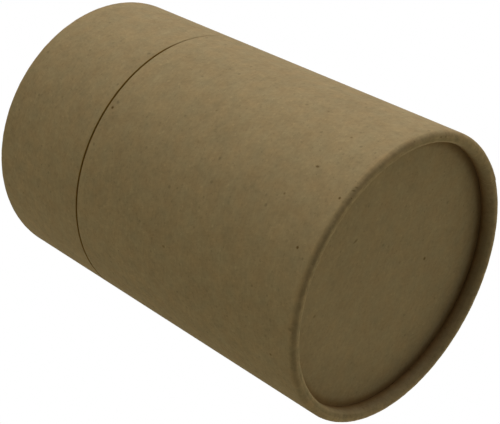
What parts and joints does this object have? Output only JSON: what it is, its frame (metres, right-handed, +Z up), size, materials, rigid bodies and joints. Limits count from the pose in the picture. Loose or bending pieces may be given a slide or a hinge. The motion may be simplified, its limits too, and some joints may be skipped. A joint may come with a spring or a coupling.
{
  "type": "cardboard tube with lid",
  "caption": "Round kraft-board canister with rolled rims, recessed end discs and a flush push-on lid that lifts off an inner neck.",
  "frame": {"origin": "centre of the base, on the surface that the canister stands on", "axes": "+Z up along the canister's axis, from the base to the lid; the shape is round, so X and Y are free"},
  "size_m": [0.083, 0.083, 0.1227],
  "materials": {
    "kraft_tube": "matt brown kraft paper wrap",
    "kraft_disc": "matt brown kraft board",
    "sleeve_board": "matt wound kraft board"
  },
  "bodies": {
    "tube": {"body_tube": "kraft_tube", "bottom_disc": "kraft_disc", "inner_sleeve": "sleeve_board"},
    "lid": {"lid_tube": "kraft_tube", "lid_disc": "kraft_disc"}
  },
  "joints": [
    {"name": "lid_lift", "type": "slide", "parent": "tube", "child": "lid", "axis": [0, 0, 1], "range_m": [0, 0.04]}
  ]
}
